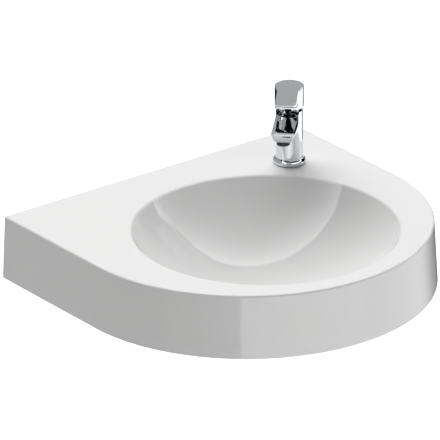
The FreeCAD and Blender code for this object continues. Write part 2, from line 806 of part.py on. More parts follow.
def make_handle():
    """The cap with its flat sloping lever, hollow below, and its screw and plug."""
    handle = on_tap(new_body("lever_handle"))
    spin(handle, "cap", "Revolution", [ring("0", "cap_radius", "cap_low", "cap_top")])
    pad(handle, "lever", [Loop(
        ("0", "cap_top"),
        ("0", "lever_root"),
        ("cap_radius - cap_wall / 2", "lever_root"),
        ("lever_reach", "lever_lip_top - lever_lip"),
        ("lever_reach", "cap_top"),
    )], "0", "lever_half * 2", "XZ_Plane", both=True)
    over = "(cap_top + 1)"
    fall = "((cap_top - lever_lip_top) / (lever_reach - lever_break))"
    pocket(handle, "slope", [Loop(
        ("lever_break", "cap_top"),
        ("lever_reach + 1", f"lever_lip_top - {fall}"),
        ("lever_reach + 1", over),
        ("lever_break", over),
    )], "0", "cap_radius * 2 + 2", "XZ_Plane", both=True)
    round_handle(handle)
    spin(handle, "hollow", "Groove", [Loop(
        ("socket_radius", "socket_low"),
        ("0", "socket_low"),
        ("0", "cap_low - 1"),
        ("cap_radius - cap_wall", "cap_low - 1"),
        ("cap_radius - cap_wall", "cap_hollow_top"),
        ("socket_radius", "cap_hollow_top"),
    )], grows=False)
    pocket(handle, "socket", [Circle("0", "0", "rod_radius")], "rod_top", "rod_top - socket_low + 1")
    screw_in = "(socket_radius + 1)"
    pocket(handle, "screw_hole", [Circle("0", "screw_height", "screw_radius")],
           "0", screw_in, "YZ_Plane")
    pocket(handle, "plug_hole", [Circle("0", "screw_height", "plug_radius")],
           f"0 - {screw_in}", "cap_radius", "YZ_Plane")
    screw = on_tap(new_body("handle_screw"))
    pad(screw, "shank", [Circle("0", "screw_height", "screw_radius")],
        "0 - rod_radius - screw_length", "screw_length", "YZ_Plane")
    hex_key = Loop(*[(f"screw_radius * 0.55 * cos({t} deg)",
                      f"screw_height + screw_radius * 0.55 * sin({t} deg)") for t in range(0, 360, 60)])
    pocket(screw, "key", [hex_key], "0 - rod_radius - screw_length", "screw_length / 2",
           "YZ_Plane", forward=True)
    plug = on_tap(new_body("index_plug"))
    pad(plug, "disc", [Circle("0", "screw_height", "plug_radius")],
        "0 - sqrt(cap_radius^2 - plug_radius^2)", "cap_wall - slide_gap", "YZ_Plane")


def round_handle(handle):
    """Soften the cap's top edge, the slope's edges and the lip's corners."""
    reach = size("lever_reach")

    def lip_corner(edge, point):
        upright = edge.BoundBox.XLength < NEAR and edge.BoundBox.YLength < NEAR
        return upright and abs(point.x - reach) < NEAR

    def top_edge(edge, point):
        box = edge.BoundBox
        crease = box.XLength < NEAR and box.ZLength < NEAR and point.x < reach - NEAR
        return box.ZMin > size("lever_lip_top") - NEAR and not crease

    fillet(handle, "lip", "lever_corner", lip_corner)
    fillet(handle, "top", "cap_round", top_edge)


def make_deck_fixing():
    """The stud, the two horseshoe washers and the nut that clamp the mixer."""
    on_tap(plate("fixing_stud", [Circle("stud_offset", "0", "stud_radius")],
                 f"0 - {UNDER_DECK} - stud_below", f"{UNDER_DECK} + stud_below + stud_entry"))
    edge = "sqrt(horseshoe_radius^2 - horseshoe_slot^2)"
    rim = "horseshoe_radius"
    outline = Loop(
        ("horseshoe_front", "0 - horseshoe_slot"),
        (f"0 - {edge}", "0 - horseshoe_slot"),
        ("0", f"0 - {rim}", rim, "left"),
        (rim, "0", rim, "left"),
        ("0", rim, rim, "left"),
        (f"0 - {edge}", "horseshoe_slot", rim, "left"),
        ("horseshoe_front", "horseshoe_slot"),
    )
    hole = Circle("stud_offset", "0", "stud_radius + slide_gap")
    rubber_z = f"(0 - {UNDER_DECK} - rubber_height)"
    plate_z = f"({rubber_z} - plate_height)"
    on_tap(plate("rubber_horseshoe", [outline, hole], rubber_z, "rubber_height"))
    on_tap(plate("steel_horseshoe", [outline, hole], plate_z, "plate_height"))
    nut = new_body("fixing_nut")
    shifted = Loop(*[(f"stud_offset + {x}", y) for x, y in hexagon("stud_nut_radius").corners])
    pad(nut, "hex", [shifted, Circle("stud_offset", "0", "stud_radius + bearing_gap")],
        f"{plate_z} - stud_nut_height", "stud_nut_height")
    on_tap(nut)


# ---------------------------------------------------------------- waste


def make_waste():
    """The waste body with its spider, its seals and nut, and the push-open plug."""
    low_flange = f"({FLANGE_Z} - waste_flange_height)"
    relief = f"({TAIL_Z} + tail_length)"
    body = on_drain(turned("waste_body", Loop(
        ("waste_bore", TAIL_Z),
        ("waste_radius", TAIL_Z),
        ("waste_radius", relief),
        ("waste_radius - relief_depth", relief),
        ("waste_radius - relief_depth", f"{relief} + relief_height"),
        ("waste_radius", f"{relief} + relief_height"),
        ("waste_radius", low_flange),
        ("waste_flange", low_flange),
        ("waste_flange", f"{FLANGE_Z} - waste_flange_height / 2"),
        ("waste_flange - waste_flange_height / 2", FLANGE_Z, "waste_flange_height / 2", "left"),
        ("waste_bore + waste_flange_height", FLANGE_Z),
        ("waste_bore", f"{FLANGE_Z} - waste_flange_height", "waste_flange_height", "left"),
    )))
    add_spider(body)
    on_drain(turned("waste_seal", ring("drain_hole + seat_gap", "waste_flange - seat_gap",
                                       SEAT_Z, f"{SEAT_Z} + waste_seal_height")))
    loose = "(waste_radius + bearing_gap)"
    on_drain(turned("waste_cone_washer", Loop(
        (loose, f"{BOSS_Z} - cone_height"),
        ("cone_radius", f"{BOSS_Z} - cone_height"),
        ("cone_radius", f"{BOSS_Z} - cone_height / 2"),
        ("cone_radius - cone_height / 2", BOSS_Z),
        (loose, BOSS_Z),
    )))
    on_drain(plate("waste_nut", [hexagon("back_nut_radius"), Circle("0", "0", loose)],
                   f"{BOSS_Z} - cone_height - back_nut_height", "back_nut_height"))
    make_plug()


def add_spider(body):
    """Three ribs and a bored hub across the waste's throat."""
    bottom = f"({SPIDER_Z} - spider_height)"
    pad(body, "hub", [Circle("0", "0", "spider_hub")], bottom, "spider_height")
    for turn in (90, 210, 330):
        across = f"(spider_rib / 2)"
        reach = "(waste_bore + 1)"
        corners = [("0", f"0 - {across}"), (reach, f"0 - {across}"), (reach, across), ("0", across)]
        arm = Loop(*[(f"{x} * cos({turn} deg) - ({y}) * sin({turn} deg)",
                      f"{x} * sin({turn} deg) + ({y}) * cos({turn} deg)") for x, y in corners])
        pad(body, f"rib_{turn}", [arm], bottom, "spider_height")
    pocket(body, "hub_bore", [Circle("0", "0", "latch_radius")], SPIDER_Z, "spider_height + 1")


def make_plug():
    """The domed plug, its seal ring, its stem and the latch barrel that holds it."""
    hub_low = f"({PLUG_Z} - plug_hub_length)"
    brim = "(plug_edge * 0.5)"
    dome = "((plug_disc^2 + plug_dome^2) / (2 * plug_dome))"
    on_drain(turned("waste_plug", Loop(
        ("0", hub_low),
        ("plug_hub", hub_low),
        ("plug_hub", PLUG_Z),
        (f"plug_disc - {brim}", PLUG_Z),
        ("plug_disc", f"{PLUG_Z} + {brim}", brim, "left"),
        ("plug_disc", f"{PLUG_Z} + plug_edge"),
        ("0", f"{PLUG_Z} + plug_edge + plug_dome", dome, "left"),
    )))
    on_drain(turned("plug_seal", ring("plug_seal - plug_seal_width", "plug_seal",
                                      f"{PLUG_Z} - plug_seal_height", PLUG_Z)))
    on_drain(plate("latch_stem", [Circle("0", "0", "stem_radius")],
                   f"{hub_low} - stem_length", "stem_length"))
    top = f"({SPIDER_Z} + latch_rise)"
    barrel = on_drain(turned("latch_barrel", Loop(
        ("0", f"{SPIDER_Z} - latch_below"),
        ("latch_radius", f"{SPIDER_Z} - latch_below"),
        ("latch_radius", SPIDER_Z),
        ("latch_collar", SPIDER_Z),
        ("latch_collar", top),
        ("0", top),
    )))
    pocket(barrel, "bore", [Circle("0", "0", "stem_radius + bearing_gap")], top, "latch_bore_depth")


# ---------------------------------------------------------------- output


def check(things):
    """Stop if any object failed to build or any sub-part is null or broken."""
    for thing in document.Objects:
        if {"Invalid", "Error"} & set(thing.State):
            raise RuntimeError(f"{thing.Name} failed: {thing.State}")
    for thing in things:
        shape = thing.Shape
        if shape.isNull() or not shape.isValid() or not shape.Solids:
            raise RuntimeError(f"{thing.Label} has no sound shape")


def write(things):
    """Write one file per sub-part."""
    os.makedirs("parts", exist_ok=True)
    for thing in things:
        thing.Shape.exportStep(os.path.join("parts", f"{thing.Label}.step"))
        print(f"{thing.Label:20s} {len(thing.Shape.Solids)} solid {thing.Shape.Volume:12.1f} mm3")


fill_sheet()
make_basin()
make_mixer_body()
make_mixer_foot()
make_aerator()
make_cartridge()
make_handle()
make_deck_fixing()
make_waste()
document.recompute()
check(parts)
write(parts)
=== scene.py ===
"""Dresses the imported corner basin: glazed deck and bowl, chromed mixer, waste and studio.

Sizes are millimetres from the rim plane, as a maker writes them, and are turned into
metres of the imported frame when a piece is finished.
"""
from __future__ import annotations

import json
import logging
import math
from dataclasses import dataclass
from enum import Enum

import bmesh
import bpy
from bmesh.types import BMEdge, BMVert, BMesh
from bpy.types import Material, Node, NodeSocket, NodeTree, Object, Scene
from mathutils import Matrix, Vector


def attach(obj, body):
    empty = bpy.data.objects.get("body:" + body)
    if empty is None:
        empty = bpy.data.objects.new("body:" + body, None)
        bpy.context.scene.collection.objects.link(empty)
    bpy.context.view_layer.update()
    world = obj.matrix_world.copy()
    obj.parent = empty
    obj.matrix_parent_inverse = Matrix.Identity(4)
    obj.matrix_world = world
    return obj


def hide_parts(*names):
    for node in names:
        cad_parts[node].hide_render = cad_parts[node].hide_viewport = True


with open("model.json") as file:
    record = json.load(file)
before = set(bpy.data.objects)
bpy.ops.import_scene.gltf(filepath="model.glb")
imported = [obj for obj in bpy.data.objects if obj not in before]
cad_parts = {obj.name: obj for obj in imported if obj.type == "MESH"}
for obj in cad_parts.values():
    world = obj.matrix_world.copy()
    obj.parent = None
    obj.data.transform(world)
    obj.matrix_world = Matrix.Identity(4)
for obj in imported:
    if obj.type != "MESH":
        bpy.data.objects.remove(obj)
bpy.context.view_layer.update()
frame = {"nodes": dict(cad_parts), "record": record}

LOG = logging.getLogger("corner_basin")
RIM = 0.055  # metres from the wall bolts up to the rim plane
MERGE = 1e-3  # millimetres within which two points are one
Point = tuple[float, float, float]


# -------------------- finishes


def linear(hex_code: str) -> tuple[float, float, float, float]:
    """Turn an sRGB hex colour into linear light.

    Args:
        hex_code: a colour such as "#EDEDED".

    Returns:
        Red, green, blue and alpha.
    """
    parts = [int(hex_code[i:i + 2], 16) / 255 for i in (1, 3, 5)]
    light = [p / 12.92 if p <= 0.04045 else ((p + 0.055) / 1.055) ** 2.4 for p in parts]
    return light[0], light[1], light[2], 1.0


def add_node(tree: NodeTree, kind: str, settings: dict | None = None,
             links: dict | None = None) -> Node:
    """Add a node with its settings and the sockets that feed it.

    Args:
        tree: the node tree it goes in.
        kind: the node's type, such as "ShaderNodeTexNoise".
        settings: values by input name or number, or by property name.
        links: output sockets by input name or number.

    Returns:
        The new node.
    """
    node = tree.nodes.new(kind)
    for name, value in (settings or {}).items():
        if isinstance(name, int) or name in node.inputs:
            node.inputs[name].default_value = value
        else:
            setattr(node, name, value)
    for name, socket in (links or {}).items():
        tree.links.new(socket, node.inputs[name])
    return node


class Grain(Enum):
    """Which way a surface's fine marks run."""

    EVEN = (1.0, 1.0, 1.0)
    ROUND_THE_AXIS = (0.15, 0.15, 3.0)


@dataclass(frozen=True)
class Finish:
    """A surface as it was made: its two tones, its gloss and its fine relief.

    tone drifts to far_tone over drift_mm. Roughness goes from smooth to rough over
    mark_mm, and the same marks stand relief_mm high.
    """

    name: str
    tone: str
    far_tone: str
    drift_mm: float
    smooth: float
    rough: float
    mark_mm: float
    relief_mm: float
    metallic: float = 0.0
    ior: float = 1.5
    grain: Grain = Grain.EVEN

    def build(self) -> Material:
        """Make the material, or give the one already made.

        Returns:
            The node material.
        """
        made = bpy.data.materials.get(self.name)
        if made:
            return made
        made = bpy.data.materials.new(self.name)
        made.use_nodes = True
        tree = made.node_tree
        tree.nodes.clear()
        place = add_node(tree, "ShaderNodeTexCoord").outputs["Object"]
        drift = add_node(tree, "ShaderNodeTexNoise",
                         {"Scale": 1000 / self.drift_mm, "Detail": 3.0}, {"Vector": place})
        tones = add_node(tree, "ShaderNodeMix",
                         {"data_type": "RGBA", 6: linear(self.tone), 7: linear(self.far_tone)},
                         {0: drift.outputs["Fac"]})
        run = add_node(tree, "ShaderNodeMapping", {"Scale": self.grain.value}, {"Vector": place})
        marks = add_node(tree, "ShaderNodeTexNoise",
                         {"Scale": 1000 / self.mark_mm, "Detail": 2.0}, {"Vector": run.outputs[0]})
        gloss = add_node(tree, "ShaderNodeMapRange",
                         {"To Min": self.smooth, "To Max": self.rough}, {0: marks.outputs["Fac"]})
        relief = add_node(tree, "ShaderNodeBump",
                          {"Strength": 1.0, "Distance": self.relief_mm / 1000},
                          {"Height": marks.outputs["Fac"]})
        skin = add_node(tree, "ShaderNodeBsdfPrincipled",
                        {"Metallic": self.metallic, "IOR": self.ior},
                        {"Base Color": tones.outputs[2], "Roughness": gloss.outputs[0],
                         "Normal": relief.outputs[0]})
        add_node(tree, "ShaderNodeOutputMaterial", links={"Surface": skin.outputs[0]})
        return made


# Vitreous china under a clear gloss glaze: nearly white, mirror-smooth, with the very
# slow waviness that glaze takes as it flows in the kiln.
GLAZE = Finish("vitreous_china_glaze", "#F1F1F0", "#EEEEEE", 160, 0.035, 0.06, 14, 0.004, ior=1.55)
# The face set against the wall is wiped free of glaze before firing: matt and creamy.
BISCUIT = Finish("unglazed_biscuit", "#E4DFD3", "#D9D2C4", 22, 0.7, 0.85, 1.2, 0.04)
# Bright chromium plate on polished brass: it takes its colour from the room.
CHROME = Finish("chromium_plate", "#E2E4E6", "#DCDEE0", 30, 0.02, 0.05, 1.5, 0.0, metallic=1.0)
# Turned brass left bare where it is out of sight, with fine rings from the lathe.
BRASS = Finish("turned_brass", "#C9A45A", "#B58E49", 9, 0.22, 0.38, 0.5, 0.01, metallic=1.0,
               grain=Grain.ROUND_THE_AXIS)
# Moulded EPDM seals: near black, dull, with the mould's fine bloom.
RUBBER = Finish("moulded_epdm", "#1E1E1F", "#29292A", 6, 0.55, 0.75, 0.6, 0.02)
# Zinc-plated steel: pale and slightly clouded, with drawn marks along the stud.
ZINC = Finish("zinc_plated_steel", "#B9BBBC", "#A4A7AA", 8, 0.25, 0.42, 0.6, 0.01, metallic=1.0,
              grain=Grain.ROUND_THE_AXIS)
# Moulded acetal: milky white with a soft sheen.
ACETAL = Finish("moulded_acetal", "#ECEBE6", "#E2E1DB", 10, 0.3, 0.45, 0.8, 0.01)
# Lapped alumina discs: dense, ivory white, almost polished.
ALUMINA = Finish("lapped_alumina", "#EFEBE1", "#E7E2D6", 7, 0.12, 0.22, 0.4, 0.003, ior=1.76)
# The small cover plug behind the handle: grey moulded ABS.
PLUG_ABS = Finish("moulded_abs", "#A5A7A9", "#9D9FA1", 5, 0.3, 0.4, 0.5, 0.008)
# Painted shade on the aerator's sleeve: dark metal that stands for the shade in the band under the
# spout's end.
AERATOR_PAINTED_SHADE = Finish("aerator_painted_shade_metal", "#3E4042", "#353739", 8, 0.15, 0.24, 0.6, 0.002,
                      metallic=1.0)
# Painted shade: the neck sleeve under the handle is made dark metal to stand for the shadow gap
# there.
NECK_PAINTED_SHADE = Finish("neck_sleeve_painted_shade", "#3A3B3D", "#303133", 8, 0.12, 0.2, 0.6, 0.004,
                     metallic=1.0)

SLOT_FINISH = {
    "glazed_china": GLAZE, "chrome_plate": CHROME, "bare_brass": BRASS, "black_rubber": RUBBER,
    "zinc_steel": ZINC, "white_acetal": ACETAL, "alumina": ALUMINA, "index_plastic": PLUG_ABS,
}
# Nodes whose slot finish gives way to painted shade: the aerator's sleeve is darkened for the
# shade under the spout's end.
NODE_PAINTED_SHADE = {"aerator_sleeve": AERATOR_PAINTED_SHADE}


# -------------------- shaping


class Outline:
    """A wire profile in the XZ plane, ready to be turned or swept."""

    def __init__(self, x: float, z: float) -> None:
        """Start the profile at a point in millimetres."""
        self.mesh = bmesh.new()
        self.tip = self.mesh.verts.new((x, 0.0, z))

    def line(self, x: float, z: float) -> "Outline":
        """Run straight to a point.

        Args:
            x, z: where the line ends.

        Returns:
            The outline.
        """
        end = self.mesh.verts.new((x, 0.0, z))
        self.mesh.edges.new((self.tip, end))
        self.tip = end
        return self

    def bend(self, x: float, z: float, radius: float, steps: int = 8) -> "Outline":
        """Run on an arc to a point.

        Args:
            x, z: where the arc ends.
            radius: the arc's radius, positive where it goes clockwise with X to the
                right and Z up, and negative where it goes the other way.
            steps: how many straight pieces stand for the arc.

        Returns:
            The outline.
        """
        start = self.tip.co.copy()
        run = Vector((x - start.x, 0.0, z - start.z))
        half = run.length / 2
        way = math.copysign(1.0, radius)
        rise = math.sqrt(max(radius * radius - half * half, 0.0))
        centre = start + run / 2 + Vector((run.z, 0.0, -run.x)).normalized() * (rise * way)
        angle = 2 * math.asin(min(half / abs(radius), 1.0)) * way
        made = bmesh.ops.spin(self.mesh, geom=[self.tip], cent=centre, axis=(0, 1, 0),
                              angle=angle, steps=steps)
        self.tip = [v for v in made["geom_last"] if isinstance(v, BMVert)][0]
        return self

    def turned(self, steps: int = 96) -> BMesh:
        """Turn the profile about the Z axis.

        Args:
            steps: pieces round the full circle.

        Returns:
            The turned mesh, open where the profile was open.
        """
        mesh = self.mesh
        bmesh.ops.spin(mesh, geom=mesh.verts[:] + mesh.edges[:], cent=(0, 0, 0), axis=(0, 0, 1),
                       angle=2 * math.pi, steps=steps, use_merge=True)
        tidy(mesh)
        return mesh


def tidy(mesh: BMesh) -> None:
    """Merge doubles, drop what has no area and point the faces outwards.

    Args:
        mesh: the mesh to tidy.
    """
    bmesh.ops.remove_doubles(mesh, verts=mesh.verts[:], dist=MERGE)
    bmesh.ops.dissolve_degenerate(mesh, edges=mesh.edges[:], dist=MERGE / 10)
    bmesh.ops.recalc_face_normals(mesh, faces=mesh.faces[:])


def absorb(mesh: BMesh, other: BMesh, move: Matrix | None = None) -> BMesh:
    """Put another mesh into this one.

    Args:
        mesh: the mesh that grows.
        other: the mesh that is used up.
        move: where it goes.

    Returns:
        The mesh that grew.
    """
    carrier = bpy.data.meshes.new("carrier")
    other.to_mesh(carrier)
    other.free()
    carrier.transform(move or Matrix.Identity(4))
    mesh.from_mesh(carrier)
    bpy.data.meshes.remove(carrier)
    return mesh


def fill_plane(mesh: BMesh, axis: int, level: float, normal: Point) -> None:
    """Close the flat face that the open edges at one level bound, holes left open.

    Args:
        mesh: the mesh with the open edges.
        axis: 0, 1 or 2 for the level's axis.
        level: the coordinate that all its edges share.
        normal: which way the face looks.
    """
    rim = [e for e in mesh.edges if len(e.link_faces) < 2
           and all(abs(v.co[axis] - level) < MERGE for v in e.verts)]
    bmesh.ops.triangle_fill(mesh, use_beauty=True, use_dissolve=False, edges=rim, normal=normal)


def finish_piece(mesh: BMesh, name: str, place: Matrix, body: str,
                 finishes: list[Finish], replaces: tuple[str, ...],
                 crease: float = 35.0) -> Object:
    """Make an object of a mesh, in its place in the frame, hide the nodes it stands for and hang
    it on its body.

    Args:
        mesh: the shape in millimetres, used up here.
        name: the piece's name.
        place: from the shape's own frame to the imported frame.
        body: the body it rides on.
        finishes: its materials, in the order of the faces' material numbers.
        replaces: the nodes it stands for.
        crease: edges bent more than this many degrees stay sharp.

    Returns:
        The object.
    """
    for face in mesh.faces:
        face.smooth = True
    for edge in mesh.edges:
        if len(edge.link_faces) == 2:
            edge.smooth = edge.calc_face_angle(0.0) < math.radians(crease)
    data = bpy.data.meshes.new(name)
    mesh.to_mesh(data)
    mesh.free()
    data.transform(place)
    piece = bpy.data.objects.new(name, data)
    bpy.context.scene.collection.objects.link(piece)
    even = piece.modifiers.new("even_shading", "WEIGHTED_NORMAL")
    even.keep_sharp = True
    for finish in finishes:
        data.materials.append(finish.build())
    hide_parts(*replaces)
    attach(piece, body)
    LOG.info("%s stands for %s on %s", name, ", ".join(replaces), body)
    return piece


def local_frame(x: float, y: float, turn: float = 0.0) -> Matrix:
    """Give the move from a sub-assembly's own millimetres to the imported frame.

    Args:
        x, y: where its axis stands, in millimetres.
        turn: how far it is turned about that axis, in radians.

    Returns:
        The move as a matrix.
    """
    shift = Matrix.Translation((x / 1000, y / 1000, RIM))
    return shift @ Matrix.Rotation(turn, 4, "Z") @ Matrix.Scale(0.001, 4)


# -------------------- basin


@dataclass
class GlazedBasin:
    """The one-piece casting: D-shaped deck and skirt, round bowl, fixing holes."""

    half_width: float = 287.5
    draft: float = 5.8
    depth: float = 520.0
    height: float = 100.0
    wall: float = 15.0
    back_wall: float = 20.0
    deck: float = 18.0
    rim_round: float = 3.0
    foot_round: float = 2.0
    bowl_y: float = -279.2
    bowl_radius: float = 202.8
    bowl_depth: float = 118.0
    bowl_wall: float = 13.0
    bowl_round: float = 6.0
    seat_radius: float = 33.5
    seat_edge: float = 0.6
    seat_sink: float = 1.5
    drain_radius: float = 22.5
    boss_radius: float = 39.0
    boss_height: float = 22.5
    tap_xy: tuple[float, float] = (184.2, -100.4)
    tap_hole: float = 17.5
    tap_pad: float = 34.0
    tap_pad_drop: float = 4.0
    bolt_half: float = 140.0
    bolt_drop: float = 55.0
    bolt_hole: float = 9.0

    def arc_y(self) -> float:
        """The y of the middle of the half-round front."""
        return self.half_width - self.depth

    def outer(self) -> Outline:
        """Draw the skirt's outside, from the rim's flat over both rounds to the foot.

        Returns:
            The profile, drawn at the half-width.
        """
        lean = math.atan(self.draft / self.height)
        top = self.half_width - self.draft
        rim, toe = self.rim_round, self.foot_round
        rim_x = top + rim * self.draft / self.height - rim / math.cos(lean)
        toe_z = toe - self.height
        toe_x = top - toe_z * self.draft / self.height - toe / math.cos(lean)
        draw = Outline(rim_x, 0.0)
        draw.bend(rim_x + rim * math.cos(lean), rim * math.sin(lean) - rim, rim, 8)
        for share in (0.25, 0.5, 0.75):
            draw.line(top + share * self.draft, -share * self.height)
        draw.line(toe_x + toe * math.cos(lean), toe_z + toe * math.sin(lean))
        draw.bend(toe_x, -self.height, toe, 6)
        return draw

    def inner(self) -> Outline:
        """Draw the skirt's inside, from the foot up to the deck's underside."""
        return Outline(self.half_width - self.wall, -self.height).line(
            self.half_width - self.draft - self.wall, -self.deck)

    def swept(self, draw: Outline, back: float, steps: int = 128) -> BMesh:
        """Take a profile round the half-round front and straight back to the wall.

        Args:
            draw: the profile, drawn at the half-width.
            back: the y at which its straight sides end.
            steps: pieces round the half circle.

        Returns:
            The swept surface, open at the back.
        """
        mesh, middle = draw.mesh, self.arc_y()
        bmesh.ops.translate(mesh, verts=mesh.verts[:], vec=(0, middle, 0))
        first = mesh.edges[:]
        made = bmesh.ops.spin(mesh, geom=mesh.verts[:] + first, cent=(0, middle, 0),
                              axis=(0, 0, 1), angle=-math.pi, steps=steps)
        last = [e for e in made["geom_last"] if isinstance(e, BMEdge)]
        for edges in (first, last):
            side = bmesh.ops.extrude_edge_only(mesh, edges=edges)["geom"]
            moved = [v for v in side if isinstance(v, BMVert)]
            bmesh.ops.translate(mesh, verts=moved, vec=(0, back - middle, 0))
        return mesh

    def bowl(self, steps: int = 192) -> BMesh:
        """Turn the bowl, its softened edge, the drain's seat and boss, and the belly.

        Args:
            steps: pieces round the bowl.

        Returns:
            The turned surface, open at the rim and at the deck's underside.
        """
        ball = (self.bowl_radius ** 2 + self.bowl_depth ** 2) / (2 * self.bowl_depth)
        mid, soft = ball - self.bowl_depth, self.bowl_round
        edge_x = math.sqrt((ball + soft) ** 2 - (mid + soft) ** 2)
        share = ball / (ball + soft)
        seat_z = -self.bowl_depth - self.seat_sink
        boss_z = seat_z - self.boss_height
        shell = ball + self.bowl_wall
        brink = self.seat_radius + self.seat_edge
        draw = Outline(edge_x, 0.0)
        draw.bend(edge_x * share, mid - (mid + soft) * share, -soft, 8)
        draw.bend(brink, mid - math.sqrt(ball ** 2 - brink ** 2), ball, 48)
        draw.line(self.seat_radius,
                  mid - math.sqrt(ball ** 2 - self.seat_radius ** 2) - self.seat_edge)
        draw.line(self.seat_radius, seat_z)
        draw.line(self.drain_radius, seat_z).line(self.drain_radius, boss_z)
        draw.line(self.boss_radius, boss_z)
        draw.line(self.boss_radius, mid - math.sqrt(shell ** 2 - self.boss_radius ** 2))
        draw.bend(math.sqrt(shell ** 2 - (mid + self.deck) ** 2), -self.deck, -shell, 28)
        mesh = draw.turned(steps)
        bmesh.ops.translate(mesh, verts=mesh.verts[:], vec=(0, self.bowl_y, 0))
        return mesh

    def tap_seat(self) -> BMesh:
        """Turn the mixer's hole and the thicker pad round it under the deck.

        Returns:
            The turned surface, open at the rim and at the deck's underside.
        """
        low = -self.deck - self.tap_pad_drop
        draw = Outline(self.tap_pad, -self.deck).line(self.tap_pad, low)
        mesh = draw.line(self.tap_hole, low).line(self.tap_hole, 0.0).turned(64)
        bmesh.ops.translate(mesh, verts=mesh.verts[:], vec=(*self.tap_xy, 0))
        return mesh

    def bolt_holes(self, mesh: BMesh) -> None:
        """Run the two fixing holes through the back wall.

        Args:
            mesh: the casting, before its flat faces are filled.
        """
        for side in (-1, 1):
            face_on = Matrix.Translation((side * self.bolt_half, 0, -self.bolt_drop))
            face_on = face_on @ Matrix.Rotation(math.pi / 2, 4, "X")
            made = bmesh.ops.create_circle(mesh, cap_ends=False, radius=self.bolt_hole,
                                           segments=40, matrix=face_on)
            ring = list(dict.fromkeys(e for v in made["verts"] for e in v.link_edges))
            tube = bmesh.ops.extrude_edge_only(mesh, edges=ring)["geom"]
            moved = [v for v in tube if isinstance(v, BMVert)]
            bmesh.ops.translate(mesh, verts=moved, vec=(0, -self.back_wall, 0))

    def close_line(self, mesh: BMesh, y: float, z: float) -> None:
        """Join the two ends of the sweep with a straight edge.

        Args:
            mesh: the casting, before its flat faces are filled.
            y, z: the line that both ends lie on.
        """
        ends = sorted((v for v in mesh.verts if abs(v.co.y - y) < MERGE
                       and abs(v.co.z - z) < MERGE), key=lambda v: v.co.x)
        mesh.edges.new((ends[0], ends[-1]))

    def build(self) -> Object:
        """Join the surfaces into one closed casting and dress it.

        Returns:
            The basin.
        """
        mesh = bmesh.new()
        absorb(mesh, self.swept(self.outer(), 0.0))
        absorb(mesh, self.swept(self.inner(), -self.back_wall))
        absorb(mesh, self.bowl())
        absorb(mesh, self.tap_seat())
        self.bolt_holes(mesh)
        bmesh.ops.remove_doubles(mesh, verts=mesh.verts[:], dist=MERGE)
        for y, z in ((0, 0), (0, -self.height), (-self.back_wall, -self.height),
                     (-self.back_wall, -self.deck)):
            self.close_line(mesh, y, z)
        for axis, level, normal in ((2, 0.0, (0, 0, 1)), (2, -self.height, (0, 0, -1)),
                                    (2, -self.deck, (0, 0, -1)), (1, 0.0, (0, 1, 0)),
                                    (1, -self.back_wall, (0, -1, 0))):
            fill_plane(mesh, axis, level, normal)
        tidy(mesh)
        for face in mesh.faces:
            face.material_index = int(face.calc_center_median().y > -MERGE)
        return finish_piece(mesh, "basin_casting", local_frame(0, 0), "root",
                            [GLAZE, BISCUIT], ("basin",))


# -------------------- mixer


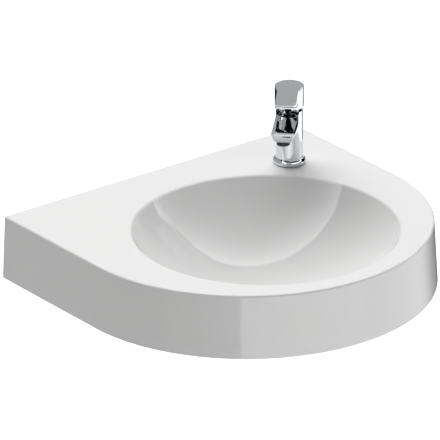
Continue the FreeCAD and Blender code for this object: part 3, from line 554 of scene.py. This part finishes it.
@dataclass
class Mixer:
    """The single-lever mixer on the deck, drawn with its spout along +X."""

    x: float = 184.2
    y: float = -100.4
    aim: float = math.pi + math.atan2(178.8, 184.2)
    column: float = 20.75
    top: float = 88.0
    column_soft: float = 0.5
    foot: float = 10.2
    ring_seat: float = 19.0
    seat_low: float = 1.0
    spigot: float = 16.5
    spigot_low: float = -4.0
    inlets: tuple[tuple[float, float], ...] = ((-5.0, 6.5), (-5.0, -6.5))
    inlet: float = 4.5
    inlet_top: float = 11.0
    stud_x: float = 9.0
    stud: float = 4.0
    stud_top: float = 12.0
    chamber: float = 14.1
    chamber_low: float = 56.0
    chamber_step: float = 81.6
    nut_room: float = 15.5
    chamber_wall: float = 0.1
    spout_half: float = 17.2
    spout_reach: float = 82.0
    spout_fall: float = 8.5
    spout_floor: float = 11.5
    tip_floor: float = 66.0
    root_floor: float = 40.0
    flank: float = 12.0
    nose_lean: float = 5.0
    nose_round: float = 5.5
    nose_drop: float = 2.0
    root_sink: float = 0.02
    brow_soft: float = 0.5
    collar: float = 16.0
    collar_rise: float = 2.0
    collar_soft: float = 0.8
    sleeve: float = 14.5
    sleeve_rise: float = 7.0
    neck_bore: float = 12.2
    flange: float = 25.0
    flange_bore: float = 19.2
    flange_rise: float = 5.2
    flange_soft: float = 0.4
    cove_gap: float = 0.45
    cove_low: float = 0.9
    cove_bow: float = 1.3
    cap: float = 22.3
    cap_low: float = 93.7
    cap_top: float = 127.3
    cap_wall: float = 3.0
    cap_soft: float = 0.4
    cap_hollow: float = 116.0
    socket: float = 7.0
    socket_low: float = 104.0
    cover: float = 3.5
    cover_height: float = 109.0
    cover_proud: float = 0.2
    cover_depth: float = 1.6
    lever_half: float = 17.2
    lever_flare: float = 0.3
    lever_reach: float = 42.5
    lever_break: float = 6.0
    lip_top: float = 108.8
    lip_low: float = 105.4
    lever_root: float = 106.0
    lip_round: float = 3.0
    edge_round: float = 1.2

    def column_mesh(self) -> BMesh:
        """Turn the upright body, with its chamber, spigots, two inlets and stud hole.

        Returns:
            The closed body.
        """
        soft, low = self.column_soft, self.spigot_low
        draw = Outline(0, self.chamber_low).line(self.chamber, self.chamber_low)
        draw.line(self.chamber, self.chamber_step).line(self.nut_room, self.chamber_step)
        draw.line(self.nut_room, self.top).line(self.column - soft, self.top)
        draw.bend(self.column, self.top - soft, soft, 3).line(self.column, self.foot)
        draw.line(self.ring_seat, self.foot).line(self.ring_seat, self.seat_low)
        draw.line(self.spigot, self.seat_low).line(self.spigot, low)
        mesh = draw.turned(128)
        holes = [(x, y, self.inlet, self.inlet_top) for x, y in self.inlets]
        for x, y, radius, rise in holes + [(self.stud_x, 0.0, self.stud, self.stud_top)]:
            tube = Outline(radius, low).line(radius, rise).line(0, rise).turned(32)
            absorb(mesh, tube, Matrix.Translation((x, y, 0)))
        fill_plane(mesh, 2, low, (0, 0, -1))
        tidy(mesh)
        return mesh

    def section(self, floor: float, x: float) -> BMesh:
        """Draw the spout's flat-topped U at one place along it.

        Args:
            floor: the height of its narrow underside.
            x: how far from the column's axis.

        Returns:
            The closed wire.
        """
        half, narrow, top = self.spout_half, self.spout_floor, self.top - self.root_sink
        shoulder = self.top - self.flank
        inset, drop = half - narrow, shoulder - floor
        bend = (inset ** 2 + drop ** 2) / (2 * inset)
        draw = Outline(half, top).line(half, shoulder).bend(narrow, floor, bend, 10)
        draw.line(-narrow, floor).bend(-half, shoulder, bend, 10).line(-half, top).line(half, top)
        bmesh.ops.remove_doubles(draw.mesh, verts=draw.mesh.verts[:], dist=MERGE)
        turn = Matrix.Rotation(math.pi / 2, 4, "Z")
        bmesh.ops.transform(draw.mesh, matrix=Matrix.Translation((x, 0, 0)) @ turn,
                            verts=draw.mesh.verts[:])
        return draw.mesh

    def slice_off(self, mesh: BMesh, point: Point, normal: Point) -> None:
        """Cut away what lies beyond a plane and close the cut.

        Args:
            mesh: the closed mesh.
            point: a point of the plane.
            normal: which way lies what is cut away.
        """
        bmesh.ops.bisect_plane(mesh, geom=mesh.verts[:] + mesh.edges[:] + mesh.faces[:],
                               dist=1e-5, plane_co=point, plane_no=normal, clear_outer=True)
        rim = [e for e in mesh.edges if e.is_boundary]
        bmesh.ops.holes_fill(mesh, edges=rim, sides=0)

    def spout_mesh(self) -> BMesh:
        """Loft the spout, slope its top, round its nose and soften its edges.

        Returns:
            The closed spout.
        """
        mesh = bmesh.new()
        for share in (0.0, 0.3, 0.6, 0.85, 1.0):
            floor = self.root_floor + (self.tip_floor - self.root_floor) * share
            absorb(mesh, self.section(floor, self.spout_reach * share))
        bmesh.ops.bridge_loops(mesh, edges=mesh.edges[:])
        bmesh.ops.holes_fill(mesh, edges=[e for e in mesh.edges if e.is_boundary], sides=0)
        bmesh.ops.recalc_face_normals(mesh, faces=mesh.faces[:])
        slope = (self.spout_fall, 0, self.spout_reach - self.collar)
        self.slice_off(mesh, (self.collar, 0, self.top), slope)
        tip = self.top - self.spout_fall
        nose = Outline(self.spout_reach, tip)
        nose.bend(self.spout_reach - self.nose_lean, self.tip_floor - self.nose_drop,
                  self.spout_reach / 2, 5)
        corners = sorted((v.co.copy() for v in nose.mesh.verts), key=lambda c: -c.z)
        nose.mesh.free()
        for high, low in zip(corners, corners[1:]):
            self.slice_off(mesh, tuple(high), (high.z - low.z, 0, low.x - high.x))
        bmesh.ops.recalc_face_normals(mesh, faces=mesh.faces[:])
        self.round_corners(mesh, [e for e in mesh.edges
                                  if any(f.normal.x > 0.8 for f in e.link_faces)
                                  and any(abs(f.normal.y) > 0.4 for f in e.link_faces)])
        bmesh.ops.recalc_face_normals(mesh, faces=mesh.faces[:])
        brow = [e for e in mesh.edges if len(e.link_faces) == 2
                and e.calc_face_angle(0) > math.radians(50)
                and any(f.normal.z > 0.9 for f in e.link_faces)]
        bmesh.ops.bevel(mesh, geom=brow, offset=self.brow_soft, segments=2, profile=0.5,
                        affect="EDGES", material=-1)
        self.clear_chamber(mesh)
        tidy(mesh)
        return mesh

    def clear_chamber(self, mesh: BMesh, steps: int = 16) -> None:
        """Draw the spout's root back round the cartridge's chamber.

        Args:
            mesh: the closed spout, whose root stands on the column's axis.
            steps: flats across the chamber.
        """
        room = self.nut_room + self.chamber_wall
        for step in range(1, steps):
            root = dict.fromkeys(f for v in mesh.verts if abs(v.co.x) < MERGE
                                 for f in v.link_faces)
            part = [*root, *dict.fromkeys(e for f in root for e in f.edges),
                    *dict.fromkeys(v for f in root for v in f.verts)]
            across = -room * math.cos(math.pi * step / steps)
            bmesh.ops.bisect_plane(mesh, geom=part, dist=1e-5, plane_co=(0, across, 0),
                                   plane_no=(0, 1, 0))
        for vert in mesh.verts:
            if abs(vert.co.y) < room and abs(vert.co.x) < MERGE:
                vert.co.x = math.sqrt(room ** 2 - vert.co.y ** 2)

    def round_corners(self, mesh: BMesh, corners: list, steps: int = 7) -> None:
        """Plane a run of outward corners down to one radius.

        Args:
            mesh: the closed, convex mesh.
            corners: its edges to round.
            steps: cuts for each edge.
        """
        cuts = []
        for edge in corners:
            one, other = (face.normal.copy() for face in edge.link_faces)
            middle = (edge.verts[0].co + edge.verts[1].co) / 2
            centre = middle - (one + other) * (self.nose_round / (1 + one.dot(other)))
            for step in range(1, steps + 1):
                way = one.slerp(other, step / (steps + 1))
                cuts.append((centre + way * self.nose_round, way))
        for point, way in cuts:
            self.slice_off(mesh, point, way)

    def flange_mesh(self) -> BMesh:
        """Turn the ring round the foot, coved up to the column.

        Returns:
            The closed ring.
        """
        lip, soft, low = self.column + self.cove_gap, self.flange_soft, self.seat_low
        draw = Outline(self.flange_bore, low).line(self.flange - soft, low)
        draw.bend(self.flange, low + soft, -soft, 3).line(self.flange, self.flange_rise)
        draw.bend(self.flange - 2 * soft, self.flange_rise + self.cove_low, -1.0, 4)
        draw.bend(lip, self.foot, (self.flange - lip) * self.cove_bow, 8)
        draw.line(self.flange_bore, self.foot).line(self.flange_bore, low)
        return draw.turned(128)

    def neck_mesh(self) -> BMesh:
        """Turn the collar on the body's top and the sleeve inside the handle.

        Returns:
            The closed neck, with the sleeve's faces in the second material, the painted shade
            under the handle.
        """
        rim, crown = self.top + self.collar_rise, self.top + self.sleeve_rise
        soft = self.collar_soft
        draw = Outline(self.neck_bore, self.top).line(self.collar, self.top)
        draw.line(self.collar, rim - soft).bend(self.collar - soft, rim, -soft, 4)
        draw.line(self.sleeve, rim).line(self.sleeve, crown).line(self.neck_bore, crown)
        mesh = draw.line(self.neck_bore, self.top).turned(96)
        # The sleeve above the collar takes the painted shade.
        for face in mesh.faces:
            face.material_index = int(face.calc_center_median().z > rim + 10 * MERGE)
        return mesh

    def handle_plan(self, mesh: BMesh, steps: int = 128) -> list:
        """Draw the handle's plan at the lever's root: the cap's circle and the lever.

        Args:
            mesh: the mesh to draw in.
            steps: pieces round the cap.

        Returns:
            The two faces.
        """
        made = bmesh.ops.create_circle(mesh, cap_ends=True, radius=self.cap, segments=steps,
                                       matrix=Matrix.Translation((0, 0, self.lever_root)))
        ring = sorted(made["verts"], key=lambda v: math.atan2(v.co.y, v.co.x))
        room = self.lever_half + self.lever_flare
        front = [v for v in ring if v.co.x > 0 and abs(v.co.y) < room]
        front.sort(key=lambda v: v.co.y)
        tips = [mesh.verts.new((self.lever_reach, y, self.lever_root))
                for y in (self.lever_half, -self.lever_half)]
        mesh.faces.new(front + tips)
        bmesh.ops.bevel(mesh, geom=tips, offset=self.lip_round, segments=6, profile=0.5,
                        affect="VERTICES", material=-1)
        return mesh.faces[:]

    def handle_mesh(self) -> BMesh:
        """Raise the plan, slope its top, round its edges and hollow the cap.

        Returns:
            The closed handle.
        """
        mesh = bmesh.new()
        plan = self.handle_plan(mesh)
        made = bmesh.ops.extrude_face_region(mesh, geom=plan, use_keep_orig=True)["geom"]
        top = [v for v in made if isinstance(v, BMVert)]
        bmesh.ops.translate(mesh, verts=top, vec=(0, 0, self.cap_top - self.lever_root))
        bmesh.ops.recalc_face_normals(mesh, faces=mesh.faces[:])
        fall, run = self.cap_top - self.lip_top, self.lever_reach - self.lever_break
        self.slice_off(mesh, (self.lever_break, 0, self.cap_top), (fall, 0, run))
        upper = [f for f in mesh.faces if f.normal.z > 0.5]
        bmesh.ops.dissolve_faces(mesh, faces=[f for f in upper if f.normal.z > 0.99])
        bmesh.ops.recalc_face_normals(mesh, faces=mesh.faces[:])
        brim = [e for e in mesh.edges if len(e.link_faces) == 2
                and e.calc_face_angle(0) > math.radians(45)
                and any(f.normal.z > 0.5 for f in e.link_faces)]
        bmesh.ops.bevel(mesh, geom=brim, offset=self.edge_round, segments=4, profile=0.5,
                        affect="EDGES", material=-1)
        for vert in mesh.verts:
            if vert.co.z < self.lever_root + MERGE and vert.co.x > self.cap:
                share = (vert.co.x - self.cap) / (self.lever_reach - self.cap)
                vert.co.z += (self.lip_low - self.lever_root) * share
        floor = [f for f in mesh.faces if f.normal.z < -0.9
                 and f.calc_center_bounds().xy.length < self.cap / 2]
        bmesh.ops.delete(mesh, geom=[max(floor, key=lambda f: f.calc_area())],
                         context="FACES_ONLY")
        absorb(mesh, self.cap_inside())
        tidy(mesh)
        return mesh

    def cap_inside(self, steps: int = 128) -> BMesh:
        """Turn the cap's wall below the lever, its hollow and the socket for the rod.

        Args:
            steps: pieces round the cap, as many as its plan has.

        Returns:
            The turned surface, open where the plan joins it.
        """
        low, soft, inner = self.cap_low, self.cap_soft, self.cap - self.cap_wall
        draw = Outline(self.cap, self.lever_root).line(self.cap, low + soft)
        draw.bend(self.cap - soft, low, soft, 3).line(inner + soft, low)
        draw.bend(inner, low + soft, soft, 3).line(inner, self.cap_hollow)
        draw.line(self.socket, self.cap_hollow).line(self.socket, self.socket_low)
        return draw.line(0, self.socket_low).turned(steps)

    def cover_mesh(self) -> BMesh:
        """Turn the small plug over the grub screw and stand it in the cap's back.

        Returns:
            The closed plug.
        """
        soft = self.cover_proud
        draw = Outline(0, -self.cover_depth).line(self.cover, -self.cover_depth)
        draw.line(self.cover, 0).bend(self.cover - soft, soft, -soft, 4).line(0, soft)
        mesh = draw.turned(48)
        bmesh.ops.transform(mesh, verts=mesh.verts[:],
                            matrix=Matrix.Translation((-self.cap, 0, self.cover_height))
                            @ Matrix.Rotation(-math.pi / 2, 4, "Y"))
        return mesh

    def build(self) -> None:
        """Build and dress the mixer's visible pieces."""
        place = local_frame(self.x, self.y, self.aim)
        plate, body = "chrome_plate", absorb(self.column_mesh(), self.spout_mesh())
        for mesh, name, rides, slot, finishes, node in (
                (body, "mixer_casting", "root", plate, [CHROME], "mixer_body"),
                (self.flange_mesh(), "foot_ring", "root", plate, [CHROME], "base_flange"),
                # The sleeve's second material is painted shade for the gap under the handle.
                (self.neck_mesh(), "neck_sleeve", "root", plate, [CHROME, NECK_PAINTED_SHADE],
                 "neck_cover"),
                (self.handle_mesh(), "lever_cap", "lever", plate, [CHROME], "lever_handle"),
                (self.cover_mesh(), "cover_plug", "lever", "index_plastic", [PLUG_ABS],
                 "index_plug")):
            finish_piece(mesh, name, place, rides, finishes, (node,))


# -------------------- waste


@dataclass
class WastePlug:
    """The domed plug that closes the drain, on the bowl's axis."""

    y: float = -279.2
    base: float = -113.2
    disc: float = 31.0
    edge: float = 2.0
    dome: float = 3.5
    dome_soft: float = 0.3
    dome_step: float = 0.05
    hub: float = 5.5
    hub_length: float = 8.0

    def build(self) -> None:
        """Turn the plug and dress it."""
        brim, top, low = self.edge / 2, self.base + self.edge, self.base - self.hub_length
        ball = (self.disc ** 2 + self.dome ** 2) / (2 * self.dome)
        draw = Outline(0, low).line(self.hub, low)
        draw.line(self.hub, self.base).line(self.disc - brim, self.base)
        draw.bend(self.disc, self.base + brim, -brim, 4).line(self.disc, top - self.dome_soft)
        draw.line(self.disc - self.dome_soft, top + self.dome_step)
        draw.bend(0, top + self.dome, -ball, 16)
        finish_piece(draw.turned(96), "domed_plug", local_frame(0, self.y), "plug",
                     [CHROME], ("waste_plug",))


# -------------------- parts carried over


def dress_carried_nodes(record: dict) -> None:
    """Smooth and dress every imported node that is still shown.

    Args:
        record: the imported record, whose sub-parts name their material slots.
    """
    slots = {s["node"]: s["material_slot"] for s in record["subparts"]}
    for name, node in sorted(frame["nodes"].items()):
        node.data.materials.clear()
        # The aerator's sleeve gets painted shade here in place of its slot's finish.
        finish = NODE_PAINTED_SHADE.get(name, SLOT_FINISH[slots[name]])
        node.data.materials.append(finish.build())
        if node.hide_render:
            continue
        for face in node.data.polygons:
            face.use_smooth = True
        weld = node.modifiers.new("join_facets", "WELD")
        weld.merge_threshold = 1e-6
        split = node.modifiers.new("keep_creases", "EDGE_SPLIT")
        split.split_angle = math.radians(30)
        LOG.info("%s kept from the frame, dressed as %s", name, slots[name])


# -------------------- studio


@dataclass
class Camera:
    """The long lens that was fitted to the photograph's outline, in millimetres."""

    azimuth: float = -37.44
    elevation: float = 23.79
    roll: float = -0.30
    distance: float = 10543.1
    across: float = 100.91
    above: float = -75.5
    lens: float = 564.01
    sensor: float = 36.0
    near: float = 500.0
    far: float = 60000.0

    def build(self) -> None:
        """Set the camera up and make it the scene's."""
        turn, lift, roll = (math.radians(a) for a in (self.azimuth, self.elevation, self.roll))
        back = Vector((math.sin(turn) * math.cos(lift), -math.cos(turn) * math.cos(lift),
                       math.sin(lift)))
        right = Vector((math.cos(turn), math.sin(turn), 0))
        up = back.cross(right)
        side = right * math.cos(roll) + up * math.sin(roll)
        head = up * math.cos(roll) - right * math.sin(roll)
        spot = (back * self.distance + side * self.across + head * self.above) / 1000
        data = bpy.data.cameras.new("long_lens")
        data.sensor_width, data.lens = self.sensor, self.lens
        data.clip_start, data.clip_end = self.near / 1000, self.far / 1000
        camera = bpy.data.objects.new("long_lens", data)
        axes = Matrix((side, head, back)).transposed().to_4x4()
        camera.matrix_world = Matrix.Translation(spot + Vector((0, 0, RIM))) @ axes
        bpy.context.scene.collection.objects.link(camera)
        bpy.context.scene.camera = camera


@dataclass(frozen=True)
class Panel:
    """A far soft panel of the surround that only gloss and metal see.

    Angles are degrees: azimuth 0 is straight in front of the basin and grows to the
    right, soft is how far each edge fades and fall is how far the right one does.
    """

    left: float
    right: float
    low: float
    high: float
    soft: float
    fall: float
    strength: float

    def glow(self, tree: NodeTree, azimuth: NodeSocket, elevation: NodeSocket) -> NodeSocket:
        """Shade the panel.

        Args:
            tree: the surround's node tree.
            azimuth, elevation: where the ray goes, in degrees.

        Returns:
            The panel's share of the light.
        """
        glow = None
        for angle, start, end, fall in ((azimuth, self.left, self.right, self.fall),
                                        (elevation, self.low, self.high, self.soft)):
            for edge, full in ((start, start + self.soft), (end, end - fall)):
                fade = add_node(tree, "ShaderNodeMapRange",
                                {"interpolation_type": "SMOOTHSTEP", "From Min": edge,
                                 "From Max": full}, {0: angle}).outputs[0]
                glow = fade if glow is None else combine(tree, "MULTIPLY", glow, fade)
        return combine(tree, "MULTIPLY", glow, self.strength)


def combine(tree: NodeTree, operation: str, *parts: NodeSocket | float) -> NodeSocket:
    """Work out one number with a Math node.

    Args:
        tree: the node tree it goes in.
        operation: the node's operation.
        parts: sockets or plain numbers, in the order of its inputs.

    Returns:
        The node's output socket.
    """
    plain = {i: p for i, p in enumerate(parts) if isinstance(p, (int, float))}
    wired = {i: p for i, p in enumerate(parts) if i not in plain}
    return add_node(tree, "ShaderNodeMath", {"operation": operation, **plain}, wired).outputs[0]


def towards(azimuth: float, elevation: float) -> Point:
    """Give the unit vector towards an azimuth and elevation in degrees."""
    turn, lift = math.radians(azimuth), math.radians(elevation)
    return (math.sin(turn) * math.cos(lift), -math.cos(turn) * math.cos(lift), math.sin(lift))


@dataclass
class Studio:
    """White surround, pale floor, soft daylight and the panels that gloss reflects."""

    floor_half: float = 20.0
    floor_drop: float = 0.85
    floor_tone: str = "#E6E6E6"
    floor_lift: float = 0.45
    key_from: tuple[float, float] = (160.0, 49.0)
    key_spread: float = 72.0
    key_light: float = 3.6
    fill_from: tuple[float, float] = (12.0, 8.0)
    fill_tightness: float = 12.0
    fill_light: float = 2.05
    ambient: float = 0.123
    panels: tuple[Panel, ...] = (
        # Low in front, with the hard left edge that the skirt mirrors.
        Panel(-42.5, 35, -60, 14, 1.5, 1.5, 1.75),
        # Low on the right, fading round the skirt's end.
        Panel(32.5, 117, -60, 4, 2, 34, 1.5),
        # The wall behind, in two halves that meet at azimuth 180.
        Panel(112, 400, 2, 120, 8, 8, 0.48),
        Panel(-400, -110, 2, 120, 8, 8, 0.42),
    )
    overhead_height: float = 0.5
    overhead_middle: tuple[float, float] = (-0.93, -5.127)
    overhead_radius: float = 5.21
    overhead_steps: int = 720
    overhead_fade: float = 0.5
    overhead_fall: float = 2.0
    overhead_glow: float = 3.0

    def build(self) -> None:
        """Build the surround, the floor and the overhead card."""
        scene = bpy.context.scene
        scene.view_settings.view_transform = "Standard"
        self.surround(scene)
        self.key()
        self.floor()
        self.overhead()

    def surround(self, scene: Scene) -> None:
        """Fill softly from the front, and show white to the lens and panels to gloss.

        Args:
            scene: the scene that gets the surround.
        """
        world = bpy.data.worlds.new("studio_surround")
        world.use_nodes = True
        scene.world = world
        tree = world.node_tree
        tree.nodes.clear()
        way = add_node(tree, "ShaderNodeTexCoord").outputs["Generated"]
        facing = add_node(tree, "ShaderNodeVectorMath",
                          {"operation": "DOT_PRODUCT", 1: towards(*self.fill_from)}, {0: way})
        ahead = combine(tree, "MAXIMUM", facing.outputs["Value"], 0.0)
        fill = combine(tree, "MULTIPLY", combine(tree, "POWER", ahead, self.fill_tightness),
                       self.fill_light)
        soft = combine(tree, "ADD", fill, self.ambient)
        path = add_node(tree, "ShaderNodeLightPath")
        mirror = combine(tree, "MAXIMUM", path.outputs["Is Glossy Ray"],
                         path.outputs["Is Transmission Ray"])
        shade = add_node(tree, "ShaderNodeMix", {"data_type": "FLOAT"},
                         {0: mirror, 2: soft, 3: self.reflected(tree, way)})
        seen = add_node(tree, "ShaderNodeMix", {"data_type": "FLOAT", 3: 1.0},
                        {0: path.outputs["Is Camera Ray"], 2: shade.outputs[0]})
        glow = add_node(tree, "ShaderNodeBackground", {"Color": linear("#FFFFFF")},
                        {"Strength": seen.outputs[0]})
        add_node(tree, "ShaderNodeOutputWorld", links={"Surface": glow.outputs[0]})

    def reflected(self, tree: NodeTree, way: NodeSocket) -> NodeSocket:
        """Give what gloss and metal see: a dark surround with its soft panels.

        Args:
            tree: the surround's node tree.
            way: the socket with the ray's direction.

        Returns:
            The light from there.
        """
        split = add_node(tree, "ShaderNodeSeparateXYZ", links={0: way})
        ahead = combine(tree, "MULTIPLY", split.outputs["Y"], -1.0)
        azimuth = combine(tree, "DEGREES", combine(tree, "ARCTAN2", split.outputs["X"], ahead))
        elevation = combine(tree, "DEGREES", combine(tree, "ARCSINE", split.outputs["Z"]))
        total = 0.0
        for panel in self.panels:
            total = combine(tree, "ADD", total, panel.glow(tree, azimuth, elevation))
        return total

    def key(self) -> None:
        """Set the big soft key that comes from behind and above."""
        data = bpy.data.lights.new("key_light", "SUN")
        data.energy, data.angle = self.key_light, math.radians(self.key_spread)
        lamp = bpy.data.objects.new("key_light", data)
        aim = Vector(towards(*self.key_from)).to_track_quat("Z", "Y")
        lamp.matrix_world = aim.to_matrix().to_4x4()
        lamp.visible_glossy = False
        bpy.context.scene.collection.objects.link(lamp)

    def floor(self) -> None:
        """Lay the pale floor well below the wall-hung basin, clear from underneath."""
        mesh = bmesh.new()
        bmesh.ops.create_grid(mesh, x_segments=1, y_segments=1, size=self.floor_half,
                              matrix=Matrix.Translation((0, 0, RIM - self.floor_drop)))
        floor = self.stage_piece(mesh, "studio_floor")
        floor.visible_glossy = False
        tree = self.stage_material(floor, "white_background_paper")
        path = add_node(tree, "ShaderNodeLightPath")
        matt = add_node(tree, "ShaderNodeBsdfDiffuse", {"Color": linear(self.floor_tone)})
        glow = add_node(tree, "ShaderNodeEmission", {"Color": linear("#FFFFFF")},
                        {"Strength": combine(tree, "MULTIPLY", path.outputs["Is Camera Ray"],
                                             self.floor_lift)})
        both = add_node(tree, "ShaderNodeAddShader", links={0: matt.outputs[0],
                                                             1: glow.outputs[0]})
        under = add_node(tree, "ShaderNodeNewGeometry").outputs["Backfacing"]
        clear = add_node(tree, "ShaderNodeBsdfTransparent")
        sheet = add_node(tree, "ShaderNodeMixShader",
                         links={0: under, 1: both.outputs[0], 2: clear.outputs[0]})
        add_node(tree, "ShaderNodeOutputMaterial", links={"Surface": sheet.outputs[0]})

    def overhead(self) -> None:
        """Hang the big overhead card whose bowed back edge the bowl mirrors as an arc."""
        middle = (*self.overhead_middle, RIM + self.overhead_height)
        mesh = bmesh.new()
        bmesh.ops.create_circle(mesh, cap_ends=True, radius=self.overhead_radius,
                                segments=self.overhead_steps, matrix=Matrix.Translation(middle))
        card = self.stage_piece(mesh, "overhead_card")
        for ray in ("camera", "diffuse", "transmission", "volume_scatter", "shadow"):
            setattr(card, f"visible_{ray}", False)
        tree = self.stage_material(card, "overhead_softbox_cloth")
        place = add_node(tree, "ShaderNodeTexCoord").outputs["Object"]
        reach = add_node(tree, "ShaderNodeVectorMath",
                         {"operation": "DISTANCE", 1: middle}, {0: place})
        fade = add_node(tree, "ShaderNodeMapRange",
                        {"From Min": self.overhead_radius - self.overhead_fade,
                         "From Max": self.overhead_radius}, {0: reach.outputs["Value"]})
        light = combine(tree, "POWER", fade.outputs[0], self.overhead_fall)
        light = combine(tree, "MULTIPLY", light, self.overhead_glow)
        glow = add_node(tree, "ShaderNodeEmission", {"Color": linear("#FFFFFF")},
                        {"Strength": light})
        add_node(tree, "ShaderNodeOutputMaterial", links={"Surface": glow.outputs[0]})

    def stage_piece(self, mesh: BMesh, name: str) -> Object:
        """Make an object of the stage.

        Args:
            mesh: its shape in metres, used up here.
            name: its name.

        Returns:
            The object.
        """
        data = bpy.data.meshes.new(name)
        mesh.to_mesh(data)
        mesh.free()
        piece = bpy.data.objects.new(name, data)
        bpy.context.scene.collection.objects.link(piece)
        return piece

    def stage_material(self, piece: Object, name: str) -> NodeTree:
        """Give a stage piece an empty node material.

        Args:
            piece: the stage piece.
            name: the material's name.

        Returns:
            The material's node tree.
        """
        made = bpy.data.materials.new(name)
        made.use_nodes = True
        made.node_tree.nodes.clear()
        piece.data.materials.append(made)
        return made.node_tree


def main() -> None:
    """Build the basin, its mixer and waste, dress the rest and set the studio up."""
    logging.basicConfig(level=logging.INFO, format="%(message)s")
    Camera().build()
    GlazedBasin().build()
    Mixer().build()
    WastePlug().build()
    dress_carried_nodes(frame["record"])
    Studio().build()


if __name__ == "__main__":
    main()
